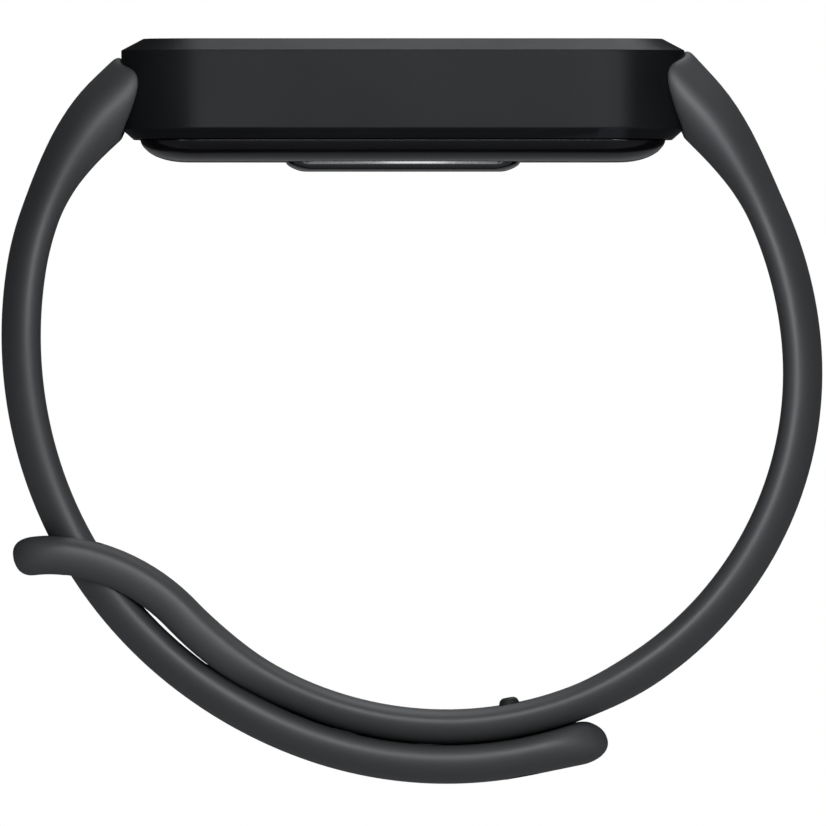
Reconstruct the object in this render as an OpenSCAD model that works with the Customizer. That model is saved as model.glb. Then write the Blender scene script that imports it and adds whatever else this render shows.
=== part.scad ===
// Fitness tracker band: a slim case on a two-piece strap that closes with a loop and a stud.
// Millimetres. +X runs along the case, +Y along the wrist, +Z out of the screen.
// The origin is the centre of the wrist opening.

/* [Case] */
// Length of the case at its rim
case_l = 42.3; // [42.0:0.1:42.6]
// Width of the case
case_w = 25.4; // [25.2:0.1:25.6]
// Radius of the case corners, seen from above
corner_r = 6; // [5:0.5:7]
// Height of the front face above the centre of the wrist opening
front_z = 30.2; // [30.2:0.1:30.4]
// Height of the bevel round the front face
bevel_h = 0.88; // [0.6:0.01:1]
// Width of the bevel round the front face
bevel_w = 1.67; // [1.2:0.01:1.8]
// Height of the joint between the case and its rear cover
joint_z = 22.69; // [22.5:0.01:22.8]
// Height of the rear cover's flat face
rear_z = 21; // [20.9:0.05:21.1]
// Height of the sensor window's flat face
window_z = 20.29; // [20.2:0.01:20.4]

/* [Strap] */
// Thickness of a strap on its own
strap_t = 2.88; // [2.7:0.01:2.9]
// Thickness of the right strap where the left one lies on it
under_t = 2.6; // [2.4:0.1:2.6]
// Thickness that the straps gain where they meet the case
flare_t = 1.85; // [1.5:0.05:2]
// Width of both straps
strap_w = 18.6; // [18:0.1:19]
// Width of both straps where they meet the case
end_w = 20.7; // [20:0.1:20.8]
// Width of the left strap where it passes through the loop
tongue_w = 13.8; // [13:0.1:14]
// Distance between the two straps' middle lines where they lie together
lap = 2.8; // [2.8:0.01:2.9]

/* [Closure] */
// Width of the stud's shank along the strap
stud_w = 1.6; // [1.4:0.1:1.6]
// Length of the stud's shank across the strap
stud_l = 5; // [4.6:0.1:5.2]
// Clearance round the stud in a strap hole
stud_gap = 0.15; // [0.15:0.01:0.2]
// Distance between two strap holes
hole_pitch = 6.2; // [5.8:0.1:6.4]
// Number of strap holes on each side of the one in use
hole_side = 4; // [2:1:4]
// Clearance round the left strap in the loop
loop_gap = 0.35; // [0.3:0.05:0.4]

/* [Hidden] */

// Smoothness of round faces and of the straps' curves
$fn = 48;
path_step = 4;
cap_n = 16;
// Overshoot of a cut past the face that it opens
eps = 0.1;
// Height of the thin levels that a rolled edge is drawn through
thin = 0.01;

// Case levels and sizes
bevel_z = front_z - bevel_h;
foot_z = joint_z + 0.75;
glass_l = case_l - 2 * bevel_w - 0.56;
glass_w = case_w - 2 * bevel_w - 0.56;
glass_t = 0.8;
glass_z = front_z - glass_t;
seat_l = glass_l - 1.6;
seat_w = glass_w - 1.6;
adhesive_t = 0.1;
ledge_z = glass_z - adhesive_t;
lower_l = 34;
lower_w = 21;
shelf_z = 26.9;
cover_l = 39.44;
cover_w = case_w - 2.86;
cover_r = corner_r - 1.4;
floor_t = 0.9;
floor_z = rear_z + floor_t;
gasket_l = 36.4;
gasket_w = 22;
gasket_t = 0.3;
gasket_x = 0.7;
gasket_y = 0.4;

// Display stack under the glass
touch_t = 0.2;
panel_t = 0.9;
backlight_t = 0.7;
panel_l = 35.2;
panel_w = 19.4;
panel_r = 2.5;
touch_z = glass_z - touch_t;
panel_z = touch_z - panel_t;
backlight_z = panel_z - backlight_t;

// Flexible circuits and the display's socket
flex_t = 0.15;
flex_w = 4;
flex_y = -6.4;
socket_x = 14.6;
plug_low = 0.9;
socket_h = 1;

// Main board and what hangs from it
board_t = 0.6;
board_r = 3.2;
board_l = 33;
board_w = 20.4;
board_z = shelf_z - board_t;
chip_x = 5;
chip_l = 2.2;
chip_h = 0.8;
screw_r = 0.6;
screw_head_r = 0.8;
screw_head_h = 0.4;
screw_places = [[-15, 8.7], [15, 8.7], [15, -8.7]];

// Battery, on the left of the case
battery_l = 20;
battery_w = 15.6;
battery_t = 3.1;
battery_x = -16;
battery_z = 22.95;

// Vibration motor
motor_x = 12;
motor_y = 5.2;
motor_r = 4;
motor_z = 22.95;
motor_h = 2.7;
motor_wall = 0.2;
base_t = 0.4;
shaft_r = 0.4;

// Sensor window, the board behind it and the charging contacts
window_l = 17.68;
window_w = 11;
window_r = 2.4;
spigot_in = 1;
sensor_z = 22.45;
sensor_t = 0.4;
sensor_part_h = 0.5;
contact_x = 13;
contact_y = 2.4;
contact_r = 0.88;

// Pockets for the strap connectors in the ends of the case
head_x = 18.4;
head_t = 1.2;
head_w = 12;
neck_w = 9;
plug_z = 23.3;
plug_h = 2.9;
plug_gap = 0.1;
anchor_x = 23.4;

// Middle lines of the straps: each leg is [length, turn to the left in degrees]
lap_start = [3.27, -21.56];
lap_right = [5.6, 11.6];
lap_left = [9.4, -19.4];
right_legs = [lap_right, [39.2, 84.3], [19.5, 37], [3.4, 0]];
loop_legs = [lap_left, [12.8, -26.9], [8.7, 33.3], [3.8, 20]];
left_legs = [outer_leg(lap_left, -lap), [11.7, -19.8], [19.8, -35.7], [13.7, -24], [14.1, -37.8],
    [3.4, 0]];
clasp_legs = [outer_leg(lap_right, lap), [4.7, 0]];
right_case = 65.3;
left_case = 70.6;
flare_len = 11;
stud_s = 5;
hinge_s = 7.95;
hinge_max = 60;
hinge_gap = 0.06;
taper_top = 12;
taper_low = -2;
strap_top = 28.95;
end_gap = 0.08;
loop_x = -18.6;
far = 40;
case_widths = [[end_w, far], [end_w, 25.5], [strap_w, 17]];
loop_w = tongue_w + 2 * loop_gap;

// The leg beside a given one, at a distance d on its right
function outer_leg(leg, d) = [leg[0] + d * leg[1] * PI / 180, leg[1]];

// Where an arc of this length and turn ends, from p with heading a
function arc_end(p, a, l, turn) = abs(turn) < 0.01 ? p + l * [cos(a), sin(a)]
    : p + l * 180 / (PI * turn) * [sin(a + turn) - sin(a), cos(a) - cos(a + turn)];

// Stations [point, heading, distance] along a chain of legs
function chain(p, a, legs, s = 0, i = 0) = i == len(legs) ? [[p, a, s]]
    : let (l = legs[i][0], turn = legs[i][1], n = max(1, ceil(abs(turn) / path_step)))
    concat([for (k = [0:n - 1]) let (f = k / n) [arc_end(p, a, l * f, turn * f), a + turn * f, s + l * f]],
        chain(arc_end(p, a, l, turn), a + turn, legs, s + l, i + 1));

// The station at distance d along a chain of legs
function station(p, a, legs, d, s = 0, i = 0) = i == len(legs) - 1 || d <= s + legs[i][0]
    ? let (f = (d - s) / legs[i][0])
        [arc_end(p, a, d - s, legs[i][1] * f), a + legs[i][1] * f, d]
    : station(arc_end(p, a, legs[i][0], legs[i][1]), a + legs[i][1], legs, d, s + legs[i][0], i + 1);

// Outline of a band from stations [point, heading, thickness]
function side_point(st, side) = st[0] + side * st[2] / 2 * [-sin(st[1]), cos(st[1])];
function cap(st, from) = [for (k = [1:cap_n - 1]) let (a = st[1] + from - 180 * k / cap_n)
    st[0] + st[2] / 2 * [cos(a), sin(a)]];
function outline(sts, first_round = false, last_round = false) = concat(
    [for (st = sts) side_point(st, 1)],
    last_round ? cap(sts[len(sts) - 1], 90) : [],
    [for (i = [len(sts) - 1:-1:0]) side_point(sts[i], -1)],
    first_round ? cap(sts[0], -90) : []);

// Thickness of a strap at a distance d before the case
function flared(d) = strap_t + (d > flare_len ? 0 : flare_t * (1 + cos(180 * max(d, 0) / flare_len)) / 2);
// Thickness of the right strap at a distance d from the middle of the lap
function smooth(x) = let (c = min(max(x, 0), 1)) c * c * (3 - 2 * c);
function right_thick(d) = flared(right_case - d) - (strap_t - under_t) * (1 - smooth((d - 10) / 6));
function loop_thick(d) = under_t + (strap_t - under_t) * smooth((d - 14) / 6);

lap_outer = lap_start - [0, lap];
left_chain = chain(lap_outer, 180, left_legs);
hinge = station(lap_outer, 180, left_legs, hinge_s);
stud = station(lap_start, 0, right_legs, stud_s);
left_part = concat([[hinge[0], hinge[1], strap_t]],
    [for (q = left_chain) if (q[2] > hinge_s) [q[0], q[1], flared(left_case - q[2])]]);
whole_left = [for (q = left_chain) [q[0], q[1], flared(left_case - q[2])]];
clasp_chain = chain(lap_outer, 0, clasp_legs);
lap_part = [for (i = [len(left_chain) - 1:-1:1]) if (left_chain[i][2] < hinge_s) left_chain[i]];
clasp_part = concat([[hinge[0], hinge[1] - 180, strap_t]],
    [for (q = lap_part) [q[0], q[1] - 180, strap_t]],
    [for (q = clasp_chain) [q[0], q[1], strap_t]]);
loop_chain = chain(lap_start, 180, loop_legs);
right_chain = chain(lap_start, 0, right_legs);
loop_part = [for (i = [len(loop_chain) - 1:-1:1]) loop_chain[i]];
right_part = concat([for (q = loop_part) [q[0], q[1] - 180, loop_thick(q[2])]],
    [for (q = right_chain) [q[0], q[1], right_thick(q[2])]]);
hole_places = concat([for (k = [0:hole_side]) station(lap_start, 0, right_legs, stud_s + k * hole_pitch)],
    [for (k = [1:hole_side]) station(lap_start, 180, loop_legs, k * hole_pitch - stud_s)]);

// A rectangle with round corners, centred
module round_rect(l, w, r) {
    square([l - 2 * r, w], center = true);
    square([l, w - 2 * r], center = true);
    for (sx = [-1, 1], sy = [-1, 1]) translate([sx * (l / 2 - r), sy * (w / 2 - r)]) circle(r);
}

// A slab with round corners from height z
module slab(l, w, r, z, h) {
    translate([0, 0, z]) linear_extrude(h) round_rect(l, w, r);
}

// A block given by its lowest corner and its size
module block(x, y, z, size) {
    translate([x, y, z]) cube(size);
}

// A shape drawn in X and Z, carried w along Y and centred there
module across(w) {
    rotate([90, 0, 0]) linear_extrude(w, center = true) children();
}

// A pill-shaped post along Z, centred, l long across the strap
module pill(w, l, h) {
    for (s = [-1, 1]) translate([0, s * (l - w) / 2, 0]) cylinder(d = w, h = h, center = true);
    cube([w, l - w, h], center = true);
}

// Children placed at a station, with their X along the strap
module at(st, lift = 0) {
    translate([st[0][0], 0, st[0][1]]) rotate([0, -st[1], 0]) translate([0, 0, lift]) children();
}

// Slab along X whose width changes with height: steps are [width, height] from the top down
module width_slab(steps) {
    right = [for (q = steps) [q[0] / 2, q[1]]];
    left = [for (i = [len(steps) - 1:-1:0]) [-steps[i][0] / 2, steps[i][1]]];
    rotate([90, 0, 90]) linear_extrude(2 * far, center = true) polygon(concat(right, left));
}

// What a strap end must leave free round the case
module case_clearance() {
    slab(case_l + 2 * end_gap, case_w + 2 * end_gap, corner_r + end_gap, rear_z, front_z);
    block(-far, -far / 2, strap_top, [2 * far, far, far]);
}

// Pocket in the end of the case for a strap connector, on the side s
module pocket(s) {
    top = plug_z + plug_h + plug_gap;
    low = rear_z - eps;
    head = [head_t + 2 * plug_gap, head_w + 2 * plug_gap, top - low];
    neck = [case_l / 2 - head_x, neck_w + 2 * plug_gap, top - low];
    translate([s * (head_x + head_t / 2), 0, low + head[2] / 2]) cube(head, center = true);
    translate([s * (head_x + neck[0] / 2 + head_t / 2), 0, low + neck[2] / 2]) cube(neck, center = true);
}

module cover_glass() {
    color("#0b0c0e") slab(glass_l, glass_w, corner_r - bevel_w - 0.28, glass_z, glass_t);
}

module glass_adhesive() {
    color("#2a2a2a") difference() {
        slab(glass_l, glass_w, corner_r - bevel_w - 0.28, ledge_z, adhesive_t);
        slab(seat_l, seat_w, 3, ledge_z - eps, adhesive_t + 2 * eps);
    }
}

module touch_panel() {
    color("#404850") slab(panel_l, panel_w, panel_r, touch_z, touch_t);
}

module display_panel() {
    color("#15171c") slab(panel_l, panel_w, panel_r, panel_z, panel_t);
}

module display_backlight() {
    color("#e8e8e4") slab(panel_l, panel_w, panel_r, backlight_z, backlight_t);
}

// The flex leaves the panel's edge and folds down past the board to its connector
module display_flex() {
    low = board_z - plug_low - flex_t;
    out = panel_l / 2 + flex_t;
    inner = lower_l / 2 - 0.2;
    up = panel_z + 0.4 - backlight_z + flex_t;
    color("#b06a1e") translate([0, flex_y, 0]) {
        block(out - flex_t, 0, backlight_z - flex_t, [flex_t, flex_w, up]);
        block(inner, 0, backlight_z - flex_t, [out - inner, flex_w, flex_t]);
        block(inner, 0, low, [flex_t, flex_w, backlight_z - low]);
        block(socket_x, 0, low, [inner + flex_t - socket_x, flex_w, flex_t]);
    }
}

module display_connector() {
    color("#26221c") block(socket_x, flex_y - 0.2, board_z - plug_low, [1.6, flex_w + 0.4, plug_low]);
}

// Housing: bevelled front, straight sides, a small chamfer at the foot
module case_frame() {
    foot_in = 0.85;
    color("#26282b") difference() {
        union() {
            hull() {
                slab(case_l - 2 * bevel_w, case_w - 2 * bevel_w, corner_r - bevel_w, front_z - thin, thin);
                slab(case_l, case_w, corner_r, bevel_z - thin, thin);
            }
            slab(case_l, case_w, corner_r, foot_z, bevel_z - foot_z);
            hull() {
                slab(case_l, case_w, corner_r, foot_z, thin);
                slab(case_l - 2 * foot_in, case_w - 2 * foot_in, corner_r - foot_in, joint_z, thin);
            }
        }
        slab(glass_l + 0.1, glass_w + 0.1, corner_r - bevel_w - 0.23, ledge_z, front_z);
        slab(seat_l, seat_w, 3, shelf_z, front_z);
        slab(lower_l, lower_w, 4, joint_z - eps, shelf_z - joint_z + 2 * eps);
        for (s = [-1, 1]) pocket(s);
    }
}

// Plate that carries the display and presses on the board
module inner_frame() {
    plate_t = backlight_z - shelf_z - 0.02;
    color("#3a3d42") difference() {
        slab(lower_l - 0.6, seat_w - 0.6, 3, shelf_z + 0.01, plate_t);
        slab(16, 9, 2, shelf_z - eps, 2);
        for (p = screw_places) translate([p[0], p[1], shelf_z - eps]) cylinder(r = screw_r + 0.02, h = 2);
    }
}

module main_board() {
    color("#1e5a3a") difference() {
        slab(board_l, board_w, board_r, board_z, board_t);
        for (p = screw_places) translate([p[0], p[1], board_z - eps]) cylinder(r = screw_r + 0.1, h = 2);
    }
}

module processor_shield() {
    color("#b9bcc0") block(7.6, -8, board_z - 1.3, [6.6, 6.6, 1.3]);
}

module bluetooth_chip() {
    color("#17181a") block(chip_x, -4, board_z - chip_h, [chip_l, 3, chip_h]);
}

module memory_chip() {
    color("#17181a") block(chip_x, -8.4, board_z - chip_h, [chip_l, 3.4, chip_h]);
}

module motion_sensor() {
    color("#202326") block(chip_x, -0.2, board_z - chip_h - 0.1, [chip_l, chip_l, chip_h + 0.1]);
}

module battery_connector() {
    color("#26221c") block(chip_x + 0.2, 2.6, board_z - socket_h, [2, 1.8, socket_h]);
}

// Screws that pull the board up against the inner frame
module board_screws() {
    color("#8d9096") for (p = screw_places) translate([p[0], p[1], board_z]) {
        translate([0, 0, -screw_head_h]) cylinder(r = screw_head_r, h = screw_head_h);
        cylinder(r = screw_r, h = board_t + 0.45);
    }
}

module battery() {
    color("#c9ccd0") slab_at(battery_x, -battery_w / 2, battery_z, [battery_l, battery_w, battery_t]);
}

// A block with round upright edges, given by its lowest corner and its size
module slab_at(x, y, z, size) {
    translate([x + size[0] / 2, y + size[1] / 2, 0]) slab(size[0], size[1], 0.8, z, size[2]);
}

module battery_protection_board() {
    color("#245b36") block(battery_x + battery_l + 0.02, -6, battery_z + 0.3, [0.6, 12, 2.05]);
}

// Lead from the protection board to its socket on the main board
module battery_lead() {
    color("#b06a1e")
        block(battery_x + battery_l + 0.62, 2.8, board_z - socket_h - flex_t, [1.8, 1.4, flex_t]);
}

module battery_adhesive() {
    top = battery_z + battery_t;
    color("#d8d6cc") slab_at(battery_x + 1, -7, top, [18, 14, board_z - top]);
}

module motor_can() {
    color("#b9bcc0") translate([motor_x, motor_y, motor_z]) difference() {
        cylinder(r = motor_r, h = motor_h);
        translate([0, 0, -eps]) cylinder(r = motor_r - motor_wall, h = motor_h - motor_wall + eps);
    }
}

module motor_base() {
    color("#8f6b2e") translate([motor_x, motor_y, motor_z])
        cylinder(r = motor_r - motor_wall - 0.02, h = base_t);
}

module motor_shaft() {
    color("#d4d6d8") translate([motor_x, motor_y, motor_z + base_t])
        cylinder(r = shaft_r, h = motor_h - motor_wall - base_t);
}

// Half-round weight that turns on the shaft
module motor_weight() {
    ring_r = 3.4;
    high = 1.6;
    color("#6d6f73") translate([motor_x, motor_y, motor_z + base_t + 0.2]) difference() {
        union() {
            intersection() {
                cylinder(r = ring_r, h = high);
                translate([-ring_r, -0.6, 0]) cube([2 * ring_r, 2 * ring_r, high]);
            }
            cylinder(r = 1.1, h = high);
        }
        translate([0, 0, -eps]) cylinder(r = shaft_r + 0.05, h = 2);
    }
}

module antenna_strip() {
    color("#c58a3a") block(-12, lower_w / 2 - 0.25, 23.4, [24, 0.2, 2.4]);
}

// Rear cover: a shallow tray whose edge rolls inwards to the flat face
module rear_cover() {
    roll = 3.4;
    wall = 0.9;
    roll_h = joint_z - rear_z - thin;
    color("#1b1d1f") difference() {
        union() for (i = [0:5]) {
            a = i * 15;
            b = (i + 1) * 15;
            hull() {
                cover_ring(roll * (1 - cos(a)), joint_z - thin - roll_h * sin(a));
                cover_ring(roll * (1 - cos(b)), joint_z - thin - roll_h * sin(b));
            }
        }
        slab(cover_l - 2 * wall - roll, cover_w - 2 * wall - roll, cover_r - 1, floor_z, joint_z - rear_z);
        spigot(0, rear_z - eps, 2);
        for (s = [-1, 1]) pocket(s);
        gasket_ring(0.02);
        for (s = [-1, 1]) translate([contact_x, s * contact_y, rear_z - eps])
            cylinder(r = contact_r + 0.02, h = 2);
    }
}

// One thin level of the rear cover, drawn in by d
module cover_ring(d, z) {
    slab(cover_l - 2 * d, cover_w - 2 * d, max(cover_r - d, 1), z, thin);
}

// Ring that seals the rear cover, in a groove of the cover
module gasket_ring(gap) {
    difference() {
        slab(gasket_l + gap, gasket_w + gap, cover_r, joint_z - gasket_t - gap, gasket_t + 2 * gap);
        slab(gasket_l - 2 * gasket_x - gap, gasket_w - 2 * gasket_y - gap, cover_r - gasket_y,
            joint_z - gasket_t - 1, gasket_t + 2);
    }
}

module rear_gasket() {
    color("#3a3a3a") gasket_ring(0);
}

// Domed window over the optical sensor, with a spigot that fills the hole in the cover
module sensor_window() {
    edge = 1.44;
    rise = rear_z - window_z - thin;
    color("#0a0a0c") {
        for (i = [0:2]) {
            a = i * 30;
            b = (i + 1) * 30;
            hull() {
                window_ring(edge * (1 - cos(a)), rear_z - thin - rise * sin(a));
                window_ring(edge * (1 - cos(b)), rear_z - thin - rise * sin(b));
            }
        }
        spigot(0.02, rear_z - 2 * thin, floor_t);
    }
}

// One thin level of the sensor window, drawn in by d
module window_ring(d, z) {
    slab(window_l - 2 * d, window_w - 2 * d, window_r - d, z, thin);
}

// The part of the window that fills the hole in the cover, with a clearance round it
module spigot(gap, z, h) {
    in = spigot_in + gap;
    slab(window_l - 2 * in, window_w - 2 * in, window_r - in, z, h);
}

module sensor_board() {
    color("#1e4a3a") slab(15.2, 10, 2, sensor_z, sensor_t);
}

module sensor_leds() {
    color("#9fd08a") for (x = [-0.8, 0.8])
        block(x - 0.5, -0.8, sensor_z - sensor_part_h, [1, 1.6, sensor_part_h]);
}

module photodiodes() {
    color("#22262e") for (x = [-5, 5])
        block(x - 1.4, -1.4, sensor_z - sensor_part_h, [2.8, 2.8, sensor_part_h]);
}

// Ribs that keep the lamps' light off the photodiodes
module light_barrier() {
    color("#101010") difference() {
        block(-2.6, -3, sensor_z - sensor_part_h, [5.2, 6, sensor_part_h]);
        block(-1.8, -2.2, sensor_z - sensor_part_h - eps, [3.6, 4.4, sensor_part_h + 2 * eps]);
    }
}

// Flex from the sensor board, up beside the battery to the main board
module sensor_flex() {
    edge_x = 7.6;
    wide = 1.8;
    low = sensor_z + 0.1;
    color("#b06a1e") {
        block(edge_x, -wide / 2, low, [0.45, wide, flex_t]);
        block(edge_x + 0.3, -wide / 2, low, [flex_t, wide, board_z - low]);
    }
}

module charging_contacts() {
    color("#c9a24a") for (s = [-1, 1]) translate([contact_x, s * contact_y, rear_z])
        cylinder(r = contact_r, h = floor_t + 0.1);
}

module charging_magnets() {
    magnet_x = 13.6;
    magnet_y = 5.6;
    color("#9a9da1") for (s = [-1, 1]) translate([magnet_x, s * magnet_y, floor_z])
        cylinder(r = 1.3, h = 0.8);
}

// T-shaped plug moulded into a strap end, mirrored for the other side
module connector(s) {
    color("#1c1d1f") {
        translate([s * (head_x + head_t / 2), 0, plug_z + plug_h / 2])
            cube([head_t, head_w, plug_h], center = true);
        translate([s * (head_x + anchor_x) / 2, 0, plug_z + plug_h / 2])
            cube([anchor_x - head_x, neck_w, plug_h], center = true);
    }
}

module left_connector() {
    connector(-1);
}

module right_connector() {
    connector(1);
}

// Left strap, from the case down to where its free end starts to flex
module left_strap() {
    p = [hinge[0][0], hinge[0][1]];
    out = hinge[1] + 90;
    color("#2b2d30") difference() {
        intersection() {
            across(end_w) polygon(outline(left_part));
            width_slab(concat(case_widths, [[strap_w, taper_top], [tongue_w, taper_low], [tongue_w, -far]]));
        }
        case_clearance();
        connector(-1);
        across(strap_w + 1) translate(p) circle(strap_t / 2 + hinge_gap);
        across(strap_w + 1) translate(p) polygon([[0, 0], 5 * [cos(out + 2), sin(out + 2)],
            6 * [cos(out - hinge_max / 2), sin(out - hinge_max / 2)],
            5 * [cos(out - hinge_max - 2), sin(out - hinge_max - 2)]]);
    }
}

// Free end of the left strap, which carries the stud
module clasp_end() {
    color("#2b2d30") difference() {
        across(tongue_w) polygon(outline(clasp_part, true, true));
        at(stud, -lap) stud_shape();
    }
}

// Stud: a flush head on the outside and a tapered tip that shows on the wrist side
module stud_shape() {
    head_h = 0.7;
    tip_h = 0.6;
    top = lap + under_t / 2;
    translate([0, 0, -strap_t / 2 + head_h / 2 - 0.02]) pill(3.2, stud_l + 1.6, head_h);
    translate([0, 0, (top - strap_t / 2) / 2]) pill(stud_w, stud_l, top + strap_t / 2);
    translate([0, 0, top + tip_h / 2]) pill(stud_w - 0.5, stud_l - 0.5, tip_h);
}

module clasp_stud() {
    color("#1d1e20") at(stud, -lap) stud_shape();
}

// Right strap: holes for the stud, and a loop at its end that the left strap passes through
module right_strap() {
    hole_w = stud_w + 2 * stud_gap;
    hole_l = stud_l + 2 * stud_gap;
    color("#2b2d30") difference() {
        intersection() {
            across(end_w) polygon(outline(right_part, true, false));
            width_slab(concat(case_widths, [[strap_w, -far]]));
        }
        case_clearance();
        connector(1);
        intersection() {
            across(loop_w) polygon(outline([for (q = whole_left) [q[0], q[1], q[2] + 2 * loop_gap]]));
            block(loop_x - far, -far / 2, -far / 2, [far, far, far]);
        }
        for (q = hole_places) at(q) pill(hole_w, hole_l, 2 * strap_t);
    }
}

cover_glass();
glass_adhesive();
touch_panel();
display_panel();
display_backlight();
display_flex();
display_connector();
case_frame();
inner_frame();
main_board();
processor_shield();
bluetooth_chip();
memory_chip();
motion_sensor();
battery_connector();
board_screws();
battery();
battery_protection_board();
battery_lead();
battery_adhesive();
motor_can();
motor_base();
motor_shaft();
motor_weight();
antenna_strip();
rear_cover();
rear_gasket();
sensor_window();
sensor_board();
sensor_leds();
photodiodes();
light_barrier();
sensor_flex();
charging_contacts();
charging_magnets();
left_connector();
right_connector();
left_strap();
clasp_end();
clasp_stud();
right_strap();
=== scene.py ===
# Looks of the fitness tracker band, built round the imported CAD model. Lengths are in millimetres
# until mesh_object() turns them into metres.
import math

import bmesh
import bpy
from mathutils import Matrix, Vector

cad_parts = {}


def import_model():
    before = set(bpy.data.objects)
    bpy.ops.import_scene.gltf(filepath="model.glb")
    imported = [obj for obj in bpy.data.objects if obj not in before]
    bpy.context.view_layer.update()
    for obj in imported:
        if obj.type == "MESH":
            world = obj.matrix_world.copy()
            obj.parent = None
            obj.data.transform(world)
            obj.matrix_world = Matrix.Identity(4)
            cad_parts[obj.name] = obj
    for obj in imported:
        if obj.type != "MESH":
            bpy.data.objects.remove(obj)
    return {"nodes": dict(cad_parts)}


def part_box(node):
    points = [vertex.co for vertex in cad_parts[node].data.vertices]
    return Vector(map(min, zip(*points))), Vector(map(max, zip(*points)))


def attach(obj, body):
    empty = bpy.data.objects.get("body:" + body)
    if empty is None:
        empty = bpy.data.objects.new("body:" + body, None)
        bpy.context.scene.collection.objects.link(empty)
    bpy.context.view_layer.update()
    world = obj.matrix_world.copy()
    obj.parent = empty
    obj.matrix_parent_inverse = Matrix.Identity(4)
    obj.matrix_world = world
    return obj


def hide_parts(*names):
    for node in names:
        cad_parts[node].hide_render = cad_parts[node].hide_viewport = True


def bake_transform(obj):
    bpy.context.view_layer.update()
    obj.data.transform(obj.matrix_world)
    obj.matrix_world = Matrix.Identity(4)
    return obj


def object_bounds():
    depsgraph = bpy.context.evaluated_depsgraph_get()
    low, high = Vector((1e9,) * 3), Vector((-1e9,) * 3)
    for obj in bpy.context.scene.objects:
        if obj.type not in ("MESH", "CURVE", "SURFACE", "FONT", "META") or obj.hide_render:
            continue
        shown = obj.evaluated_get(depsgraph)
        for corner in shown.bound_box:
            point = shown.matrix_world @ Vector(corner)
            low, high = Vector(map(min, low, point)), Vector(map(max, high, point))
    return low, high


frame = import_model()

cad_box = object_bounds()
MM = 0.001
scene = bpy.context.scene


def cad_box_mm(node):
    """Lowest and highest corners of a CAD node in millimetres, to a thousandth."""
    return [[round(v / MM, 3) for v in corner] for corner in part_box(node)]


CASE_LOW, CASE_HIGH = cad_box_mm("case_frame")
GLASS_LOW, GLASS_HIGH = cad_box_mm("cover_glass")
COVER_LOW, COVER_HIGH = cad_box_mm("rear_cover")
WINDOW_LOW, WINDOW_HIGH = cad_box_mm("sensor_window")
PLUG_LOW, PLUG_HIGH = cad_box_mm("right_connector")
TONGUE_HIGH = cad_box_mm("clasp_end")[1]

# Case: levels are heights above the centre of the wrist opening. The seat is the step under the glass,
# the well is the space below it, and the groove in the rear cover holds the gasket.
CASE_L = 2 * CASE_HIGH[0]
CASE_W = 2 * CASE_HIGH[1]
CORNER_R = 6.0
FRONT_Z = CASE_HIGH[2]
BEVEL_Z = 29.32
BEVEL_W = 1.67
FOOT_Z = 23.44
FOOT_IN = 0.85
JOINT_Z = CASE_LOW[2]
REAR_Z = COVER_LOW[2]
FLOOR_Z = 21.9
WINDOW_Z = WINDOW_LOW[2]
GLASS_Z = GLASS_LOW[2]
LEDGE_Z = cad_box_mm("glass_adhesive")[0][2]
SHELF_Z = 26.9
GLASS_L = 2 * GLASS_HIGH[0]
GLASS_W = 2 * GLASS_HIGH[1]
GLASS_R = 4.05
COVER_L = 2 * COVER_HIGH[0]
COVER_W = 2 * COVER_HIGH[1]
COVER_R = 4.6
WINDOW_L = 2 * WINDOW_HIGH[0]
WINDOW_W = 2 * WINDOW_HIGH[1]
WINDOW_R = 1.4
CONTACT_X = 13.0
CONTACT_Y = 2.4
CONTACT_HOLE = (1.8, 1.802)
LIP_W = 0.23
SEAT_IN = 1.6
SEAT_R = 3.0
WELL_L = 34.0
WELL_W = 21.0
WELL_R = 4.0
WINDOW_WALL = 2.0
COVER_WALL = 1.8
GROOVE_DEPTH = 0.32
GROOVE_IN = (35.0, 21.2, 4.2)
GROOVE_OUT = (36.42, 22.02, 4.6)
CASE_GAP = 0.015

# Pockets in the case ends, and the plugs in them: distances from the middle of the case
POCKET_HEAD = (18.3, 19.7)
POCKET_NECK = (19.0, 22.0)
POCKET_HEAD_W = 12.2
POCKET_NECK_W = 9.2
POCKET_LOW = 20.0
POCKET_TOP = 26.3
PLUG_X = (PLUG_LOW[0], 19.6, PLUG_HIGH[0])
PLUG_Z = (PLUG_LOW[2], PLUG_HIGH[2])
PLUG_HEAD_W = 2 * PLUG_HIGH[1]
PLUG_NECK_W = 9.0
PLUG_EDGE = 0.18

# Straps: legs are (length, turn to the left in degrees)
STRAP_T = 2.88
UNDER_T = 2.6
FLARE_T = 1.85
FLARE_LEN = 11.0
STRAP_W = 18.6
TONGUE_W = 2 * TONGUE_HIGH[1]
TAPER_S = 36.0
TAPER_LEN = 18.0
LAP = 2.8
LAP_START = (3.27, -21.56)
LAP_RIGHT = (5.6, 11.6)
LAP_LEFT = (9.4, -19.4)
RIGHT_LEGS = [LAP_RIGHT, (39.2, 84.3), (19.5, 37.0), (9.4, 0.0)]
LOOP_LEGS = [LAP_LEFT, (12.8, -26.9), (8.7, 33.3), (3.8, 20.0)]
RIGHT_CASE = 65.3
LEFT_CASE = 70.6
STUD_S = 5.0
STUD_RISE = 0.52
HOLE_PITCH = 6.2
HOLE_SIDE = 4
HOLE_W = 1.9
HOLE_L = 5.3
HINGE_S = 7.95
BEND_LEN = 9.0
LOOP_GAP = 0.35
END_W = 21.7

# Where a strap changes, counted from where the two start to lie together (WIDEN_LEN: from the case)
THIN_LOOP = 14.0
THIN_CASE = 10.0
THIN_FADE = 6.0
WIDEN_LEN = 12.0
LOOP_EDGE_AT = 10.0
LOOP_EDGE_FADE = 8.0

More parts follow.
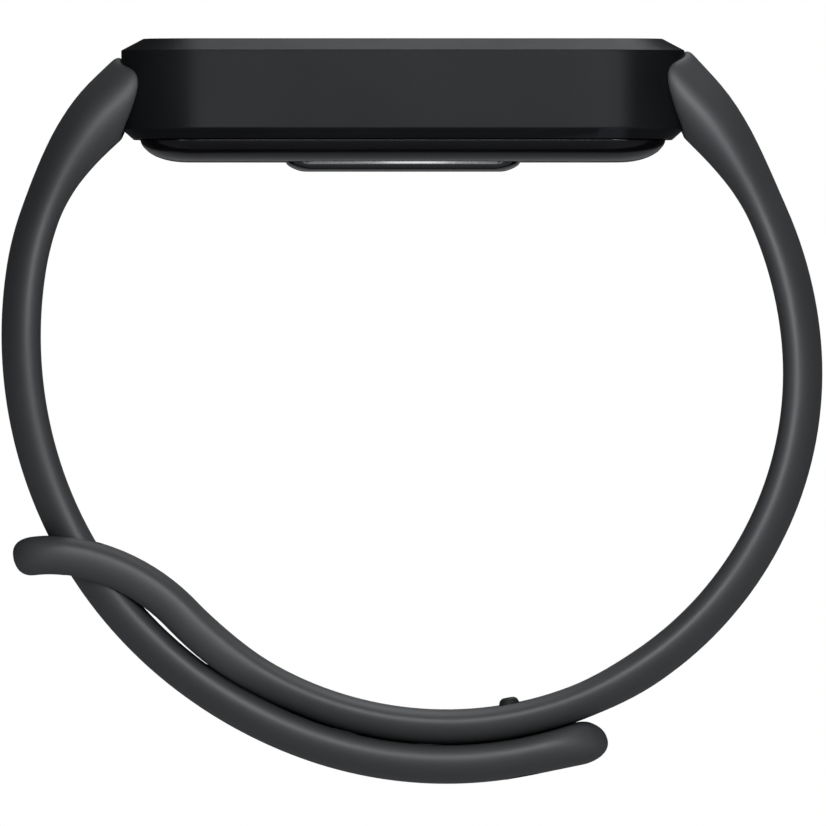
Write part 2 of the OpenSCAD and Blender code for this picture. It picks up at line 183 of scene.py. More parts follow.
# Strap section: EDGE is the width of the crown's round sides as a share of half the strap's width,
# INNER_EDGE is that of the wrist side in mm, and MIDDLE is the share of the thickness on the wrist
# side. NEAR values are what changes towards the case.
EDGE = 0.8
LOOP_EDGE = 0.28
EDGE_NEAR = 0.25
INNER_EDGE = 1.7
INNER_EDGE_NEAR = 2.5
MIDDLE = 0.31
MIDDLE_NEAR = 0.14
MIDDLE_TIP = 0.2
MIDDLE_TIP_LEN = 4.0

# Softened end of a strap at the case
END_TUCK = 0.4
END_TUCK_LEN = 1.6
END_SOFT_LEN = 0.6
END_SOFT_OUTER = 0.35
END_SOFT_INNER = 0.3

# Filling of the left strap where it lies on the right one: gaps above FILL_MAX stay open
FILL_CLEAR = 0.008
FILL_MAX = 0.62
FILL_FADE = 0.34
FILL_STEP = 0.25
FILL_UNTIL = 20.0

# Rings of a strap's mesh
SIDES = 32
TIP_RINGS = 22
BODY_RINGS = 120
END_RINGS = 8
FIRST_RING = 0.004
END_RINGS_LEN = 1.0
END_FIT_LEN = 16.0


def beside(leg, d):
    """The leg that runs beside another one, d to its right."""
    return (leg[0] + d * math.radians(leg[1]), leg[1])


LEFT_LEGS = [
    beside(LAP_LEFT, -LAP),
    (11.7, -19.8),
    (19.8, -35.7),
    (13.7, -24.0),
    (14.1, -37.8),
    (9.4, 0.0),
]
CLASP_LEGS = [beside(LAP_RIGHT, LAP), (4.7, 0.0)]


def smooth(x):
    """Smooth step from 0 at x = 0 to 1 at x = 1."""
    c = min(max(x, 0.0), 1.0)
    return c * c * (3 - 2 * c)


def arc_end(p, a, length, turn):
    """End of an arc that leaves p at heading a; turn is in degrees."""
    if abs(turn) < 0.01:
        return (p[0] + length * math.cos(a), p[1] + length * math.sin(a))
    t = math.radians(turn)
    r = length / t
    dx, dz = math.sin(a + t) - math.sin(a), math.cos(a) - math.cos(a + t)
    return (p[0] + r * dx, p[1] + r * dz)


def walk(start, heading, legs, s):
    """Point and heading at distance s along a chain of tangent arcs."""
    p, a = start, math.radians(heading)
    for i, (length, turn) in enumerate(legs):
        if s <= length or i == len(legs) - 1:
            return arc_end(p, a, s, turn * s / length), a + math.radians(turn * s / length)
        p = arc_end(p, a, length, turn)
        a += math.radians(turn)
        s -= length


class Line:
    """A strap's middle line, from its free tip at 0 towards the case."""

    def __init__(self, start, free_legs, case_legs, free_heading, tip, outer):
        self.start, self.free, self.case = start, free_legs, case_legs
        self.heading, self.outer = free_heading, outer
        self.lead = sum(leg[0] for leg in free_legs) + tip

    def at(self, s):
        """Point, heading towards the case and the lap distance (positive towards the case)."""
        d = s - self.lead
        if d >= 0:
            p, a = walk(self.start, self.heading + 180, self.case, d)
            return p, a, d
        p, a = walk(self.start, self.heading, self.free, -d)
        return p, a + math.pi, d

    def point(self, s, h):
        """The point h outwards from the middle line."""
        p, a, _ = self.at(s)
        return (p[0] - self.outer * h * math.sin(a), p[1] + self.outer * h * math.cos(a))


LOOP_TIP = UNDER_T / 2 + 0.14
RIGHT = Line(LAP_START, LOOP_LEGS, RIGHT_LEGS, 180.0, LOOP_TIP, -1)
LEFT = Line((LAP_START[0], LAP_START[1] - LAP), CLASP_LEGS, LEFT_LEGS, 0.0, STRAP_T / 2, 1)


def flared(d):
    """Thickness at distance d from the case."""
    if d > FLARE_LEN:
        return STRAP_T
    return STRAP_T + FLARE_T * (1 + math.cos(math.pi * max(d, 0.0) / FLARE_LEN)) / 2


def right_thick(d):
    if d < 0:
        return UNDER_T + (STRAP_T - UNDER_T) * smooth((-d - THIN_LOOP) / THIN_FADE)
    return flared(RIGHT_CASE - d) - (STRAP_T - UNDER_T) * (1 - smooth((d - THIN_CASE) / THIN_FADE))


def left_thick(d):
    return flared(LEFT_CASE - d)


def near_case(d, case):
    """Rises from 0 to 1 over the last stretch before the case."""
    return smooth((d - case + WIDEN_LEN) / (WIDEN_LEN - 1))


def right_width(d):
    return STRAP_W + (END_W - STRAP_W) * near_case(d, RIGHT_CASE)


def left_width(d):
    low = TONGUE_W + (STRAP_W - TONGUE_W) * smooth((d - TAPER_S) / TAPER_LEN)
    return low + (END_W - STRAP_W) * near_case(d, LEFT_CASE)


def case_edge(y):
    """How far the case reaches along X at this y, with a clearance."""
    flat = CASE_W / 2 - CORNER_R
    past = max(abs(y) - flat, 0.0)
    r = CORNER_R + CASE_GAP
    return CASE_L / 2 - CORNER_R + math.sqrt(max(r * r - past * past, 0.0))


def mesh_object(name, verts, faces, sharp=35.0):
    """A smooth-shaded object in metres from points in millimetres."""
    mesh = bpy.data.meshes.new(name)
    mesh.from_pydata([(x * MM, y * MM, z * MM) for x, y, z in verts], [], faces)
    bm = bmesh.new()
    bm.from_mesh(mesh)
    bmesh.ops.remove_doubles(bm, verts=bm.verts, dist=2e-6)
    bmesh.ops.recalc_face_normals(bm, faces=bm.faces)
    bm.to_mesh(mesh)
    bm.free()
    mesh.shade_smooth()
    mesh.set_sharp_from_angle(angle=math.radians(sharp))
    obj = bpy.data.objects.new(name, mesh)
    scene.collection.objects.link(obj)
    return obj


def round_in(x, r, power=2.0):
    """Height of a quarter round of radius r, from 0 at x = 0 to 1; a higher power is squarer."""
    return max(1 - (1 - min(max(x, 0.0) / r, 1.0)) ** power, 0.0) ** (1 / power)


def lap_filler(s):
    """How much the left strap grows inwards at s to lie on the right one."""
    (px, pz), _, _ = LEFT.at(s)
    places = [i * FILL_STEP for i in range(-110, 70)]
    gap = min(math.dist((px, pz), RIGHT.at(RIGHT.lead + d)[0]) - right_thick(d) / 2 for d in places)
    gap -= STRAP_T / 2
    return max(gap - FILL_CLEAR, 0.0) * smooth((FILL_MAX - gap) / FILL_FADE)


def strap(name, line, thick, width, case, tip_r, outer_r, inner_r, power):
    """A domed strap: flat on the wrist side, crowned outside, with a round tip and an end on the case.

    tip_r rounds the tip seen from above, outer_r and inner_r round it seen from the side,
    and power makes that rounding squarer.
    """
    total = line.lead + case
    angles = [math.pi * k / SIDES for k in range(SIDES + 1)]
    filler = {}

    def half_width(s, d, before_end):
        tuck = END_TUCK * (1 - round_in(before_end, END_TUCK_LEN))
        return width(d) / 2 - tip_r + tip_r * round_in(s, tip_r) - tuck

    def shape(s, k, before_end):
        """Half-width position and the outer and inner heights of profile point k at distance s."""
        _, _, d = line.at(max(s, 0.0))
        t = thick(d)
        half = half_width(s, d, before_end)
        y = math.cos(angles[k]) * half
        share = EDGE
        if line is RIGHT:
            share += (LOOP_EDGE - EDGE) * smooth((-d - LOOP_EDGE_AT) / LOOP_EDGE_FADE)
        near = near_case(d, case)
        outer_edge = (share - EDGE_NEAR * near) * half
        inner_edge = min(INNER_EDGE + INNER_EDGE_NEAR * near, half)
        crown = round_in(half - abs(y), outer_edge)
        flat = round_in(half - abs(y), inner_edge)
        middle = MIDDLE + MIDDLE_NEAR * near + MIDDLE_TIP * (1 - smooth(s / MIDDLE_TIP_LEN))
        apex = (middle - 0.5) * t
        key = round(s, 3)
        if line is LEFT and key not in filler:
            filler[key] = lap_filler(s) if d < FILL_UNTIL else 0.0
        high = apex + (1 - middle) * t * crown * round_in(s, outer_r, power)
        low = apex - (middle * t + filler.get(key, 0.0)) * flat * round_in(s, inner_r, power)
        soft = 1 - round_in(before_end, END_SOFT_LEN)
        return y, high - END_SOFT_OUTER * crown * soft, low + END_SOFT_INNER * flat * soft

    def end_of(k, outer):
        """Distance at which this line of the strap meets the case."""
        lo, hi = total - 9.0, total + 7.0
        for _ in range(40):
            mid = (lo + hi) / 2
            y, high, low = shape(mid, k, 0.0)
            x, _ = line.point(mid, high if outer else low)
            if abs(x) > case_edge(y):
                lo = mid
            else:
                hi = mid
        return lo

    body_end = total - END_RINGS_LEN
    quarter = math.pi / 2
    stations = [FIRST_RING]
    stations += [tip_r * (1 - math.cos(quarter * i / TIP_RINGS)) for i in range(1, TIP_RINGS + 1)]
    stations += [tip_r + (body_end - tip_r) * i / BODY_RINGS for i in range(1, BODY_RINGS + 1)]
    for i in range(1, END_RINGS + 1):
        stations.append(body_end + END_RINGS_LEN * math.sin(quarter * i / END_RINGS))
    ends = [(end_of(k, True), end_of(k, False)) for k in range(SIDES + 1)]
    verts, rings = [], []
    for s in stations:
        share = smooth((s - total + END_FIT_LEN) / END_FIT_LEN)
        ring = []
        for k in range(SIDES + 1):
            so = s + (ends[k][0] - total) * share
            y, high, _ = shape(so, k, total - s)
            x, z = line.point(so, high)
            ring.append(len(verts))
            verts.append((x, y, z))
        for k in range(SIDES - 1, 0, -1):
            si = s + (ends[k][1] - total) * share
            y, _, low = shape(si, k, total - s)
            x, z = line.point(si, low)
            ring.append(len(verts))
            verts.append((x, y, z))
        rings.append(ring)
    m = len(rings[0])
    faces = []
    for a, b in zip(rings[:-1], rings[1:]):
        faces += [(a[j], a[(j + 1) % m], b[(j + 1) % m], b[j]) for j in range(m)]
    for ring in (rings[0], rings[-1]):
        for k in range(SIDES):
            quad = [ring[k], ring[k + 1], ring[(m - k - 1) % m], ring[(m - k) % m]]
            faces.append(tuple(dict.fromkeys(quad)))
    return mesh_object(name, verts, faces, 50.0)


def pill_points(w, l, n=10):
    """Outline of a pill, w along X and l along Y."""
    r = w / 2
    pts = []
    for sign, base in ((1, 0.0), (-1, math.pi)):
        for i in range(n + 1):
            a = base + math.pi * i / n
            pts.append((r * math.cos(a), sign * (l / 2 - r) + r * math.sin(a)))
    return pts


SIDE_POINTS = (0.02, 0.2, 0.5, 0.8, 0.98)


def plan_points(l, w, r, n=14):
    """Outline of a rectangle with round corners; every size gives the same number of points."""
    r = min(r, w / 2 - 0.001, l / 2 - 0.001)
    corners = [(1, 1, 0.0), (-1, 1, 90.0), (-1, -1, 180.0), (1, -1, 270.0)]
    pts = []
    for sx, sy, base in corners:
        cx, cy = sx * (l / 2 - r), sy * (w / 2 - r)
        for i in range(n + 1):
            a = math.radians(base + 90.0 * i / n)
            pts.append((cx + r * math.cos(a), cy + r * math.sin(a)))
    full = []
    for i, p in enumerate(pts):
        full.append(p)
        if i % (n + 1) == n:
            q = pts[(i + 1) % len(pts)]
            full += [(p[0] + (q[0] - p[0]) * f, p[1] + (q[1] - p[1]) * f) for f in SIDE_POINTS]
    return full


def loft(rings, close_loop=False, cap_first=False, cap_last=False):
    """Points and faces through rings of 3-D points."""
    verts = [p for ring in rings for p in ring]
    m, count = len(rings[0]), len(rings)
    faces = []
    for i in range(count if close_loop else count - 1):
        a, b = i * m, (i + 1) % count * m
        faces += [(a + j, a + (j + 1) % m, b + (j + 1) % m, b + j) for j in range(m)]
    if cap_first:
        faces.append(tuple(range(m)))
    if cap_last:
        faces.append(tuple(range((count - 1) * m, count * m)))
    return verts, faces


def plan_loft(name, levels, close_loop=False, caps=False):
    """Lofts rounded rectangles given as (length, width, corner radius, height)."""
    rings = [[(x, y, z) for x, y in plan_points(l, w, r)] for l, w, r, z in levels]
    return mesh_object(name, *loft(rings, close_loop, caps, caps))


def at_station(obj, line, s):
    """Moves an object from the origin to distance s of a strap, X along it and +Z to the wrist."""
    (x, z), a, _ = line.at(s)
    up = line.outer * -1
    mesh = obj.data
    for v in mesh.vertices:
        u, y, h = v.co
        dx = u * math.cos(a) - up * h * math.sin(a)
        dz = u * math.sin(a) + up * h * math.cos(a)
        v.co = (x * MM + dx, y, z * MM + dz)
    return obj


def cut(obj, cutters):
    """Takes the cutters out of obj and removes them."""
    for c in cutters:
        m = obj.modifiers.new("cut", "BOOLEAN")
        m.operation = "DIFFERENCE"
        m.solver = "EXACT"
        m.object = c
    bpy.context.view_layer.update()
    evaluated = obj.evaluated_get(bpy.context.evaluated_depsgraph_get())
    result = bpy.data.meshes.new_from_object(evaluated)
    obj.modifiers.clear()
    old = obj.data
    obj.data = result
    bpy.data.meshes.remove(old)
    for c in cutters:
        bpy.data.objects.remove(c)
    return obj


def finish_mesh(obj, sharp):
    """Cleans up after a cut, and shades the faces smooth across edges below the sharp angle."""
    bm = bmesh.new()
    bm.from_mesh(obj.data)
    bmesh.ops.remove_doubles(bm, verts=bm.verts, dist=1e-6)
    bmesh.ops.dissolve_degenerate(bm, edges=bm.edges, dist=1e-6)
    bmesh.ops.recalc_face_normals(bm, faces=bm.faces)
    bm.to_mesh(obj.data)
    bm.free()
    obj.data.shade_smooth()
    obj.data.set_sharp_from_angle(angle=math.radians(sharp))
    return obj


def block(x0, x1, y0, y1, z0, z1):
    """A plain cutter box."""
    v = [(x, y, z) for z in (z0, z1) for y in (y0, y1) for x in (x0, x1)]
    f = [(0, 1, 3, 2), (4, 6, 7, 5), (0, 4, 5, 1), (2, 3, 7, 6), (0, 2, 6, 4), (1, 5, 7, 3)]
    return mesh_object("cutter", v, f)


def flared_hole(w, l, depth, flare):
    """Cutter for a hole whose two mouths widen by flare in a round lip."""
    rings = []
    for i in range(5):
        a = math.radians(90.0 * i / 4)
        g = flare * (1 - math.sin(a))
        lip_z = -depth / 2 + flare * (1 - math.cos(a))
        rings.append([(x, y, lip_z) for x, y in pill_points(w + 2 * g, l + 2 * g)])
    rings += [[(x, y, -z) for x, y, z in ring] for ring in reversed(rings)]
    low = [(x, y, -depth) for x, y, _ in rings[0]]
    high = [(x, y, depth) for x, y, _ in rings[-1]]
    return mesh_object("cutter", *loft([low] + rings + [high], False, True, True))


# ---------------------------------------------------------------- materials

BROAD_SCALE = 90.0
BROAD_STOPS = (0.3, 0.7)
WORN_STOPS = (0.52, 0.6)
NOISE_ROUGHNESS = 0.55
BUMP_DEPTH = 0.00003


def principled(name, color, rough, **inputs):
    """A Principled material; further inputs go by name, with _ for a space."""
    mat = bpy.data.materials.new(name)
    mat.use_nodes = True
    bsdf = mat.node_tree.nodes["Principled BSDF"]
    bsdf.inputs["Base Color"].default_value = (*color, 1.0)
    bsdf.inputs["Roughness"].default_value = rough
    for key, value in inputs.items():
        bsdf.inputs[key.replace("_", " ")].default_value = value
    return mat


def noise(tree, coords, scale, detail):
    n = tree.nodes.new("ShaderNodeTexNoise")
    n.inputs["Scale"].default_value = scale
    n.inputs["Detail"].default_value = detail
    n.inputs["Roughness"].default_value = NOISE_ROUGHNESS
    tree.links.new(coords, n.inputs["Vector"])
    return n.outputs["Fac"]


def ramp(tree, fac, stops, low, high):
    """Colour ramp from low at the first stop to high at the second."""
    r = tree.nodes.new("ShaderNodeValToRGB")
    for element, stop, color in zip(r.color_ramp.elements, stops, (low, high)):
        element.position = stop
        element.color = (*color, 1.0)
    tree.links.new(fac, r.inputs["Fac"])
    return r.outputs["Color"]


def spread(tree, fac, low, high):
    """Maps a 0 to 1 value to a range."""
    m = tree.nodes.new("ShaderNodeMapRange")
    m.inputs["To Min"].default_value = low
    m.inputs["To Max"].default_value = high
    tree.links.new(fac, m.inputs["Value"])
    return m.outputs["Result"]


def shaded(name, color, rough, grain, bump, mottle=0.18, wear=None, rough_var=0.08, **inputs):
    """A finish with mottled colour, uneven gloss, a fine grain and, if asked, lighter worn edges."""
    mat = principled(name, color, rough, **inputs)
    tree = mat.node_tree
    bsdf = tree.nodes["Principled BSDF"]
    coords = tree.nodes.new("ShaderNodeTexCoord").outputs["Object"]
    broad = noise(tree, coords, BROAD_SCALE, 4.0)
    fine = noise(tree, coords, grain, 2.0)
    dark = tuple(c * (1 - mottle) for c in color)
    light = tuple(min(c * (1 + mottle), 1.0) for c in color)
    tone = ramp(tree, broad, BROAD_STOPS, dark, light)
    if wear:
        geo = tree.nodes.new("ShaderNodeNewGeometry")
        edge = ramp(tree, geo.outputs["Pointiness"], WORN_STOPS, (0, 0, 0), (1, 1, 1))
        mixer = tree.nodes.new("ShaderNodeMix")
        mixer.data_type = "RGBA"
        mixer.inputs[7].default_value = (*wear, 1.0)
        tree.links.new(tone, mixer.inputs[6])
        patch = tree.nodes.new("ShaderNodeMath")
        patch.operation = "MULTIPLY"
        tree.links.new(edge, patch.inputs[0])
        tree.links.new(broad, patch.inputs[1])
        tree.links.new(patch.outputs[0], mixer.inputs[0])
        tone = mixer.outputs[2]
    tree.links.new(tone, bsdf.inputs["Base Color"])
    gloss = spread(tree, broad, rough - rough_var, rough + rough_var)
    tree.links.new(gloss, bsdf.inputs["Roughness"])
    b = tree.nodes.new("ShaderNodeBump")
    b.inputs["Strength"].default_value = bump
    b.inputs["Distance"].default_value = BUMP_DEPTH
    tree.links.new(fine, b.inputs["Height"])
    tree.links.new(b.outputs["Normal"], bsdf.inputs["Normal"])
    return mat


def paint(obj, mat):
    """Gives the object this material alone, and returns it."""
    obj.data.materials.clear()
    obj.data.materials.append(mat)
    return obj


STRAP_RUBBER = shaded(
    "strap_rubber", (0.031, 0.0317, 0.0336), 0.64, 9000.0, 0.3, mottle=0.08, Specular_IOR_Level=0.6
)
CASE_PLASTIC = shaded(
    "case_plastic",
    (0.005, 0.0052, 0.0059),
    0.4,
    12000.0,
    0.2,
    wear=(0.02, 0.021, 0.024),
    Specular_IOR_Level=0.05,
)
COVER_PLASTIC = shaded(
    "cover_plastic",
    (0.0012, 0.0012, 0.0015),
    0.18,
    12000.0,
    0.04,
    rough_var=0.03,
    Specular_IOR_Level=0.3,
)
GLASS_BLACK = shaded(
    "glass_black", (0.004, 0.004, 0.005), 0.05, 4000.0, 0.01, rough_var=0.02, Coat_Weight=0.5
)
WINDOW_BLACK = shaded(
    "window_black", (0.003, 0.003, 0.004), 0.06, 4000.0, 0.01, rough_var=0.02, Coat_Weight=0.5
)
STUD_BLACK = shaded(
    "stud_black", (0.012, 0.0125, 0.0135), 0.62, 8000.0, 0.15, Specular_IOR_Level=0.12
)
PLUG_NYLON = shaded("plug_nylon", (0.022, 0.022, 0.024), 0.48, 7000.0, 0.25)
GOLD = shaded("contact_gold", (0.72, 0.5, 0.2), 0.22, 8000.0, 0.08, Metallic=1.0)

# ---------------------------------------------------------------- straps

LOOP_FROM = 12.0
LOOP_LEN = 33.0
LOOP_STEPS = 44
LOOP_OPENS_AT = 2.0
LOOP_OPENS_LEN = 14.0
LOOP_CORNER_R = 0.7
HOLE_FLARE = 0.22
STUD_HOLE = (1.62, 5.02, 3.0, 0.01)
STRAP_SHARP = 40.0
STUD_AT = LEFT.lead - beside(LAP_RIGHT, LAP)[0] * STUD_S / LAP_RIGHT[0]

left = strap("strap_left_band", LEFT, left_thick, left_width, LEFT_CASE, 5.2, 2.2, 1.4, 2.1)
right = strap("strap_right_band", RIGHT, right_thick, right_width, RIGHT_CASE, 4.6, 1.5, 1.5, 2.4)


def loop_cutter():
    """Opening of the loop: a block along the left strap, closer where the straps start to touch."""
    half_w = TONGUE_W / 2 + LOOP_GAP
    first = LEFT.lead + LOOP_FROM
    rings = []
    for i in range(LOOP_STEPS + 1):
        s = first + LOOP_LEN * i / LOOP_STEPS
        half_t = STRAP_T / 2 + LOOP_GAP * smooth((s - first - LOOP_OPENS_AT) / LOOP_OPENS_LEN)
        ring = []
        for a, b in plan_points(2 * half_w, 2 * half_t, LOOP_CORNER_R, 5):
            x, z = LEFT.point(s, b)
            ring.append((x, a, z))
        rings.append(ring)
    return mesh_object("cutter", *loft(rings, False, True, True))


def hole_cutters():
    made = []
    for k in range(-HOLE_SIDE, HOLE_SIDE + 1):
        d = STUD_S + k * HOLE_PITCH
        hole = flared_hole(HOLE_W, HOLE_L, right_thick(d), HOLE_FLARE)
        made.append(at_station(hole, RIGHT, RIGHT.lead + STUD_S + k * HOLE_PITCH))
    return made


cut(right, hole_cutters() + [loop_cutter()])
finish_mesh(right, STRAP_SHARP)
cut(left, [at_station(flared_hole(*STUD_HOLE), LEFT, STUD_AT)])
finish_mesh(left, STRAP_SHARP)
for band in (left, right):
    paint(band, STRAP_RUBBER)

hinge_point = LEFT.at(LEFT.lead + HINGE_S)[0]
bend_end = LEFT.at(LEFT.lead + HINGE_S - BEND_LEN)[0]
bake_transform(left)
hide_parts("left_strap", "clasp_end")
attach(right, "right_strap")
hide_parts("right_strap")


def stud():
    """Pill-shaped stud with a flush head outside and a rounded tip inside."""
    head = -STRAP_T / 2
    top = LAP + UNDER_T / 2 + STUD_RISE
    levels = [  # width, length and height of each ring
        (2.6, 6.0, head + 0.02),
        (3.0, 6.4, head + 0.12),
        (3.2, 6.6, head + 0.3),
        (3.2, 6.6, head + 0.7),
        (1.6, 5.0, head + 0.72),
        (1.6, 5.0, top - 0.62),
        (1.52, 4.9, top - 0.4),
        (1.3, 4.7, top - 0.15),
        (0.9, 4.2, top - 0.02),
        (0.5, 3.6, top),
    ]
    rings = [[(x, y, z) for x, y in pill_points(w, l)] for w, l, z in levels]
    return at_station(mesh_object("stud", *loft(rings, False, True, True)), LEFT, STUD_AT)


stud_piece = paint(stud(), STUD_BLACK)
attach(stud_piece, "clasp_end")
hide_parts("clasp_stud")

# ---------------------------------------------------------------- case

FILLET_STEPS = 3
SUPPORT = 1.15
CASE_SHARP = 30.0


def fillet(corner, before, after, r):
    """Rounds a corner of a path of levels by r, with a support loop on each side."""
    near, far = [], []
    for q in (before, after):
        gap = math.dist((q[0], q[3]), (corner[0], corner[3]))
        f = min(r / gap, 0.4)
        near.append(tuple(c + (b - c) * f for c, b in zip(corner, q)))
        far.append(tuple(c + (b - c) * f * SUPPORT for c, b in zip(corner, q)))
    out = [far[0]]
    for i in range(FILLET_STEPS + 1):
        t = i / FILLET_STEPS
        a, b = (1 - t) ** 2, t * t
        ends = zip(near[0], corner, near[1])
        out.append(tuple(a * p + (1 - a - b) * c + b * q for p, c, q in ends))
    return out + [far[1]]


def rounded(levels, radii):
    """A closed path of levels with its first corners rounded by these radii."""
    out = []
    for i, level in enumerate(levels):
        if i < len(radii):
            out += fillet(level, levels[i - 1], levels[(i + 1) % len(levels)], radii[i])
        else:
            out.append(level)
    return out


def pocket_cutters():
    """Cutters for the two strap plug pockets."""
    made = []
    for s in (-1, 1):
        for reach, width in ((POCKET_HEAD, POCKET_HEAD_W), (POCKET_NECK, POCKET_NECK_W)):
            x0, x1 = sorted(s * x for x in reach)
            made.append(block(x0, x1, -width / 2, width / 2, POCKET_LOW, POCKET_TOP))
    return made


def case_shell():
    """The housing, from its foot up round the front rim and down inside."""
    lip = BEVEL_W + LIP_W
    seat = (GLASS_L - SEAT_IN, GLASS_W - SEAT_IN, SEAT_R)
    well = (WELL_L, WELL_W, WELL_R)
    levels = [
        (CASE_L - 2 * FOOT_IN, CASE_W - 2 * FOOT_IN, CORNER_R - FOOT_IN, JOINT_Z),
        (CASE_L, CASE_W, CORNER_R, FOOT_Z),
        (CASE_L, CASE_W, CORNER_R, BEVEL_Z),
        (CASE_L - 2 * BEVEL_W, CASE_W - 2 * BEVEL_W, CORNER_R - BEVEL_W, FRONT_Z),
        (CASE_L - 2 * lip, CASE_W - 2 * lip, CORNER_R - lip, FRONT_Z),
        (CASE_L - 2 * lip, CASE_W - 2 * lip, CORNER_R - lip, LEDGE_Z),
        (*seat, LEDGE_Z),
        (*seat, SHELF_Z),
        (WELL_L, GLASS_W - SEAT_IN, SEAT_R, SHELF_Z - 0.001),
        (*well, SHELF_Z - 0.3),
        (*well, JOINT_Z),
    ]
    radii = (0.05, 0.1, 0.06, 0.06, 0.04)
    shell = plan_loft("case_shell", rounded(levels, radii), close_loop=True)
    return finish_mesh(cut(shell, pocket_cutters()), CASE_SHARP)


def rear_tray():
    """The rear cover, from its rolled edge to the window's opening and back inside to the groove."""
    roll, lip, steps = 3.4, 0.16, 16
    depth = JOINT_Z - REAR_Z
    outer = []
    for i in range(4):
        a = math.radians(90.0 * i / 4)
        d = lip * (1 - math.sin(a))
        z = JOINT_Z - lip * (1 - math.cos(a))
        outer.append((COVER_L - 2 * d, COVER_W - 2 * d, COVER_R - d, z))
    for i in range(steps + 1):
        a = math.radians(5 + 85.0 * i / steps)
        d = roll * (1 - math.cos(a))
        z = JOINT_Z - depth * math.sin(a)
        outer.append((COVER_L - 2 * d, COVER_W - 2 * d, max(COVER_R - d, 1.2), z))
    hole = (WINDOW_L - WINDOW_WALL, WINDOW_W - WINDOW_WALL, WINDOW_R - 1)
    cavity = (COVER_L - COVER_WALL - roll, COVER_W - COVER_WALL - roll, COVER_R - 1)
    levels = outer + [
        (*hole, REAR_Z),
        (*hole, FLOOR_Z),
        (*cavity, FLOOR_Z),
        (*cavity, JOINT_Z),
        (*GROOVE_IN, JOINT_Z),
        (*GROOVE_IN, JOINT_Z - GROOVE_DEPTH),
        (*GROOVE_OUT, JOINT_Z - GROOVE_DEPTH),
        (*GROOVE_OUT, JOINT_Z),
    ]
    tray = plan_loft("rear_tray", levels, close_loop=True)
    cutters = pocket_cutters()
    disc = pill_points(*CONTACT_HOLE, 16)
    for s in (-1, 1):
        rings = []
        for z in (REAR_Z - 0.5, FLOOR_Z + 0.5):
            rings.append([(CONTACT_X + x, s * CONTACT_Y + y, z) for x, y in disc])
        cutters.append(mesh_object("cutter", *loft(rings, False, True, True)))
    return finish_mesh(cut(tray, cutters), CASE_SHARP)


def sensor_lens():
    """The raised window, from its flat face up its rolled side and through the rear cover."""
    rise = REAR_Z - WINDOW_Z
    wall = [  # inset along the case, inset across it, and share of the rise
        (1.44, 0.8, 1.0),
        (1.15, 0.5, 0.95),
        (0.9, 0.29, 0.86),
        (0.62, 0.13, 0.7),
        (0.4, 0.06, 0.55),
        (0.25, 0.025, 0.42),
        (0.16, 0.014, 0.32),
        (0.08, 0.007, 0.2),
        (0.0, 0.0, 0.0),
    ]
    levels = []
    for dx, dy, down in wall:
        levels.append((WINDOW_L - 2 * dx, WINDOW_W - 2 * dy, WINDOW_R - dy, REAR_Z - rise * down))
    inner = (WINDOW_L - 2.04, WINDOW_W - 2.04, WINDOW_R - 1.02)
    levels += [(*inner, REAR_Z), (*inner, FLOOR_Z - 0.02)]
    return plan_loft("sensor_lens", levels, caps=True)


def glass_pane():
    """The front glass, with a small round edge."""
    r = 0.14
    levels = [(GLASS_L, GLASS_W, GLASS_R, GLASS_Z)]
    for i in range(5):
        a = math.radians(90.0 * i / 4)
        d = r * (1 - math.cos(a))
        z = FRONT_Z - r + r * math.sin(a)
        levels.append((GLASS_L - 2 * d, GLASS_W - 2 * d, GLASS_R - d, z))
    return plan_loft("glass_pane", levels, caps=True)


def contact(s):
    """Gold disc with a shallow dished face and a rounded edge."""
    profile = [  # radius and height of each ring
        (0.88, REAR_Z + 1.0),
        (0.88, REAR_Z + 0.06),
        (0.84, REAR_Z + 0.02),
        (0.78, REAR_Z),
        (0.6, REAR_Z + 0.02),
        (0.3, REAR_Z + 0.05),
        (0.05, REAR_Z + 0.06),
    ]
    disc = pill_points(1.0, 1.001, 16)
    rings = []
    for r, z in profile:
        rings.append([(CONTACT_X + 2 * r * x, s * CONTACT_Y + 2 * r * y, z) for x, y in disc])
    return mesh_object(f"charging_contact_{'a' if s > 0 else 'b'}", *loft(rings, False, True, True))


def plug(s, name):
    """T-shaped strap plug with softened edges."""
    x0, x1, x2 = PLUG_X
    head, neck = PLUG_HEAD_W / 2, PLUG_NECK_W / 2
    half = [(x2, neck), (x1, neck), (x1, head), (x0, head)]
    outline = [(x, -y) for x, y in reversed(half)] + half
    rings = [[(s * x, y, z) for x, y in outline] for z in PLUG_Z]
    obj = mesh_object(name, *loft(rings, False, True, True))
    bevel = obj.modifiers.new("soft_edges", "BEVEL")
    bevel.width = PLUG_EDGE * MM
    bevel.segments = 3
    bevel.limit_method = "ANGLE"
    return obj


case_parts = [
    (case_shell(), "case_frame", CASE_PLASTIC, "case_charcoal"),
    (rear_tray(), "rear_cover", COVER_PLASTIC, "cover_black"),
    (sensor_lens(), "sensor_window", WINDOW_BLACK, "window_black"),
    (glass_pane(), "cover_glass", GLASS_BLACK, "glass_black"),
]
for obj, node, mat, slot_name in case_parts:
    paint(obj, mat)
    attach(obj, "case")
    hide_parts(node)
for s in (-1, 1):
    disc = paint(contact(s), GOLD)
    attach(disc, "case")
    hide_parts("charging_contacts")
for s, body, node in ((-1, "left_strap", "left_connector"), (1, "right_strap", "right_connector")):
    piece = paint(plug(s, node.replace("connector", "plug")), PLUG_NYLON)
    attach(piece, body)
    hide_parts(node)

# ---------------------------------------------------------------- inner parts

